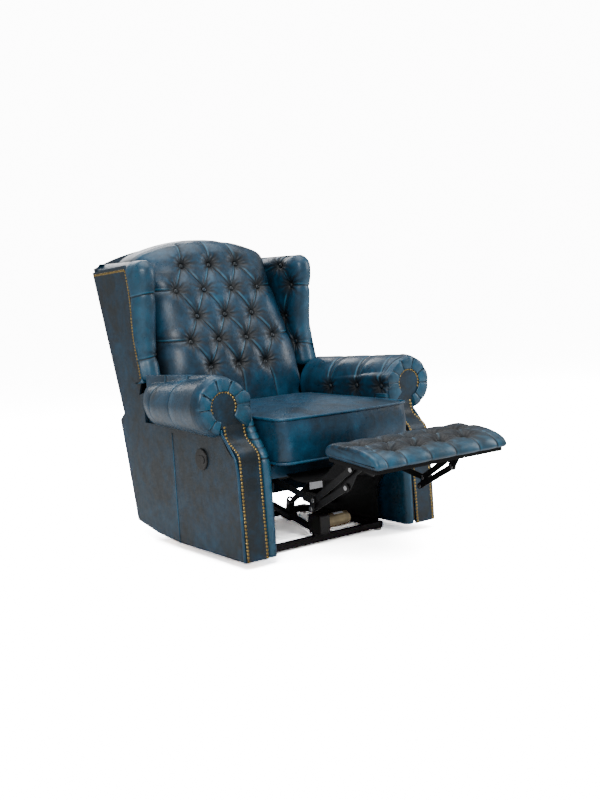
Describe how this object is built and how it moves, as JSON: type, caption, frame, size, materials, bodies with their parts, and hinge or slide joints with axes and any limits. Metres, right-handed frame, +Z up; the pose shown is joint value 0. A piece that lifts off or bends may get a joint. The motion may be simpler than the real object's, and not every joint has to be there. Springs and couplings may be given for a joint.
{
  "type": "recliner armchair",
  "caption": "Powered wing-back recliner armchair with a button-tufted back, scroll arms and a folding footrest.",
  "frame": {"origin": "centre of the chair's footprint on the floor, with the footrest out", "axes": "+Z up, -Y the way the chair faces, -X the sitter's right"},
  "size_m": [0.972, 1.4644, 1.062],
  "materials": {
    "leather": "semi-gloss antiqued blue",
    "leather_dark": "semi-gloss antiqued blue-black",
    "covered_buttons": "semi-gloss",
    "brass_nails": "antique",
    "wood": "raw plywood and pine",
    "black_steel": "matte black",
    "spring_steel": "bare wire",
    "rivet_steel": "zinc plated",
    "white_nylon": "natural nylon",
    "tan_plastic": "tan housing",
    "black_plastic": "satin",
    "black_cloth": "woven black",
    "white_tag": "woven label, blank"
  },
  "bodies": {
    "base": {"floor_cross_rails": "black_steel", "floor_side_rails": "black_steel", "floor_glides": "white_nylon", "riser_plates": "black_steel", "arm_ties": "black_steel", "roller_axles": "black_steel", "actuator_rail": "black_steel", "actuator_gearbox": "black_plastic", "actuator_motor": "tan_plastic", "actuator_stays": "black_steel", "control_box": "black_plastic", "arm_side_panel_left": "leather_dark", "arm_side_panel_right": "leather_dark", "arm_frames": "wood", "arm_inner_pads": "leather", "arm_roll_left": "leather", "arm_roll_right": "leather", "arm_facings": "leather_dark", "arm_nails": "brass_nails", "arm_buttons": "covered_buttons", "rear_lower_panel": "leather_dark", "power_inlet": "black_plastic", "front_border": "leather", "switch_plate": "black_plastic", "gap_cloth": "black_cloth", "blank_tag": "white_tag"},
    "seat": {"seat_rails": "wood", "seat_hinge_plates": "black_steel", "seat_springs": "spring_steel", "seat_deck": "black_cloth", "seat_cushion": "leather"},
    "back": {"back_posts": "wood", "back_rails": "wood", "wing_rails": "wood", "back_hinge_brackets": "black_steel", "back_pad": "leather", "back_buttons": "covered_buttons", "wing_pad_left": "leather", "wing_pad_right": "leather", "wing_panels": "leather_dark", "wing_nails": "brass_nails", "outside_back": "leather_dark"},
    "footrest_drive": {"torque_tube": "black_steel", "rear_links": "black_steel", "drive_rivets": "rivet_steel"},
    "front_links": {"front_links": "black_steel"},
    "control_links": {"control_links": "black_steel"},
    "footrest": {"footrest_pad": "leather", "footrest_buttons": "covered_buttons", "footrest_board": "black_cloth", "footrest_brackets": "black_steel", "footrest_fasteners": "rivet_steel"},
    "push_link": {"push_link": "black_steel"},
    "carriage": {"actuator_carriage": "black_steel", "carriage_rivet": "rivet_steel"},
    "rollers_front": {"rollers_front": "white_nylon"},
    "rollers_rear": {"rollers_rear": "white_nylon"},
    "button_open": {"button_open": "black_plastic"},
    "button_close": {"button_close": "black_plastic"}
  },
  "joints": [
    {"name": "recline", "type": "hinge", "parent": "seat", "child": "back", "pos_m": [0, 0.34143, 0.375], "axis": [-1, 0, 0], "range_deg": [0, 30]},
    {"name": "seat_slide", "type": "slide", "parent": "base", "child": "seat", "axis": [0, -1, 0], "range_m": [0, 0.0605]},
    {"name": "footrest_fold", "type": "hinge", "parent": "base", "child": "footrest_drive", "pos_m": [0, -0.17428, 0.26], "axis": [1, 0, 0], "range_deg": [0, 120.88], "deforming": ["gap_cloth"]},
    {"name": "front_link_turn", "type": "hinge", "parent": "footrest_drive", "child": "front_links", "pos_m": [0, -0.38924, 0.21607], "axis": [-1, 0, 0], "range_deg": [-0.5, 121.38]},
    {"name": "control_link_turn", "type": "hinge", "parent": "footrest_drive", "child": "control_links", "pos_m": [0, -0.37822, 0.18817], "axis": [-1, 0, 0], "range_deg": [-0.5, 133.85]},
    {"name": "footrest_turn", "type": "hinge", "parent": "front_links", "child": "footrest", "pos_m": [0, -0.57157, 0.33], "axis": [1, 0, 0], "range_deg": [-0.5, 82.5]},
    {"name": "push_link_turn", "type": "hinge", "parent": "footrest_drive", "child": "push_link", "pos_m": [-0.041, -0.18984, 0.24444], "axis": [-1, 0, 0], "range_deg": [-0.5, 122.22]},
    {"name": "actuator_travel", "type": "slide", "parent": "base", "child": "carriage", "axis": [0, 0.9781, 0.2079], "range_m": [-0.0005, 0.03642]},
    {"name": "front_roller_spin", "type": "hinge", "parent": "base", "child": "rollers_front", "pos_m": [0, -0.05857, 0.268], "axis": [1, 0, 0], "range_deg": [-2, 250]},
    {"name": "rear_roller_spin", "type": "hinge", "parent": "base", "child": "rollers_rear", "pos_m": [0, 0.22143, 0.268], "axis": [1, 0, 0], "range_deg": [-2, 250]},
    {"name": "button_open_press", "type": "slide", "parent": "base", "child": "button_open", "axis": [1, 0, 0], "range_m": [0, 0.0015], "stiffness_N_per_m": 400, "springref_m": -0.001},
    {"name": "button_close_press", "type": "slide", "parent": "base", "child": "button_close", "axis": [1, 0, 0], "range_m": [0, 0.0015], "stiffness_N_per_m": 400, "springref_m": -0.001}
  ],
  "couplings": [
    {"joint": "seat_slide", "follows": "recline", "m_per_rad": 0.11459},
    {"joint": "front_roller_spin", "follows": "recline", "ratio": 8.1851},
    {"joint": "rear_roller_spin", "follows": "recline", "ratio": 8.1851},
    {"joint": "front_link_turn", "follows": "footrest_fold", "ratio": 1},
    {"joint": "control_link_turn", "follows": "footrest_fold", "ratio": 1.1032},
    {"joint": "footrest_turn", "follows": "footrest_fold", "ratio": 0.67836},
    {"joint": "push_link_turn", "follows": "footrest_fold", "ratio": 1.007},
    {"joint": "actuator_travel", "follows": "footrest_fold", "m_per_rad": 0.017025}
  ]
}
